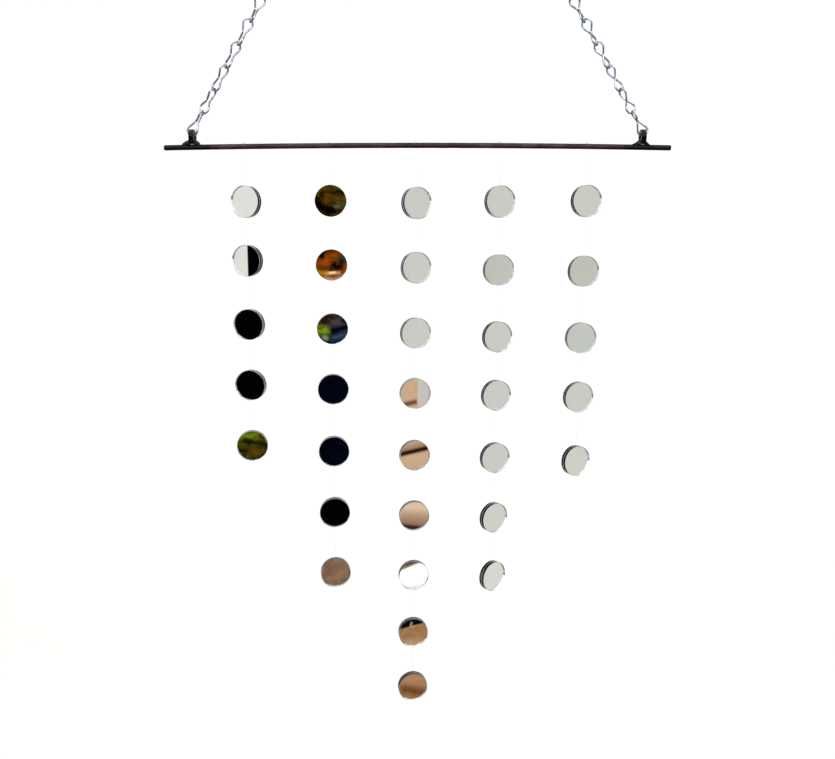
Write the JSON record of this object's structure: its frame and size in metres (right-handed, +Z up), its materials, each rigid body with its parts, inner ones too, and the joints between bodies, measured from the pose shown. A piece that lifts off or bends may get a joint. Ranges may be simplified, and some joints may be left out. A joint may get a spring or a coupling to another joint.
{
  "type": "hanging mirror mobile",
  "caption": "Hanging mobile of small round mirrors on clear lines below a bowed steel rod, hung from two lengths of jack chain on welded nuts.",
  "frame": {"origin": "where the nail or hook bears, at the inner top of the top link's loop", "axes": "+Z up; the rod runs along X; the front, with the mirrors' faces, looks along -Y; the nail runs along Y"},
  "size_m": [0.402, 0.0201, 0.8055],
  "materials": {
    "zinc_chain": "bright zinc plate",
    "nut_steel": "dark oiled steel",
    "rod_steel": "dark mill scale, painted black near the ends",
    "clear_nylon": "clear gloss",
    "silvered_glass": "mirror"
  },
  "bodies": {
    "root": {"top_link": "zinc_chain", "left_chain": "zinc_chain", "right_chain": "zinc_chain", "left_nut_link": "zinc_chain", "right_nut_link": "zinc_chain", "left_nut": "nut_steel", "right_nut": "nut_steel", "crossbar": "rod_steel", "nylon_line_1": "clear_nylon", "nylon_line_2": "clear_nylon", "nylon_line_3": "clear_nylon", "nylon_line_4": "clear_nylon", "nylon_line_5": "clear_nylon", "mirror_1_1": "silvered_glass", "mirror_1_2": "silvered_glass", "mirror_1_3": "silvered_glass", "mirror_1_4": "silvered_glass", "mirror_1_5": "silvered_glass", "mirror_2_1": "silvered_glass", "mirror_2_2": "silvered_glass", "mirror_2_3": "silvered_glass", "mirror_2_4": "silvered_glass", "mirror_2_5": "silvered_glass", "mirror_2_6": "silvered_glass", "mirror_2_7": "silvered_glass", "mirror_3_1": "silvered_glass", "mirror_3_2": "silvered_glass", "mirror_3_3": "silvered_glass", "mirror_3_4": "silvered_glass", "mirror_3_5": "silvered_glass", "mirror_3_6": "silvered_glass", "mirror_3_7": "silvered_glass", "mirror_3_8": "silvered_glass", "mirror_3_9": "silvered_glass", "mirror_4_1": "silvered_glass", "mirror_4_2": "silvered_glass", "mirror_4_3": "silvered_glass", "mirror_4_4": "silvered_glass", "mirror_4_5": "silvered_glass", "mirror_4_6": "silvered_glass", "mirror_4_7": "silvered_glass", "mirror_5_1": "silvered_glass", "mirror_5_2": "silvered_glass", "mirror_5_3": "silvered_glass", "mirror_5_4": "silvered_glass", "mirror_5_5": "silvered_glass"}
  },
  "joints": []
}
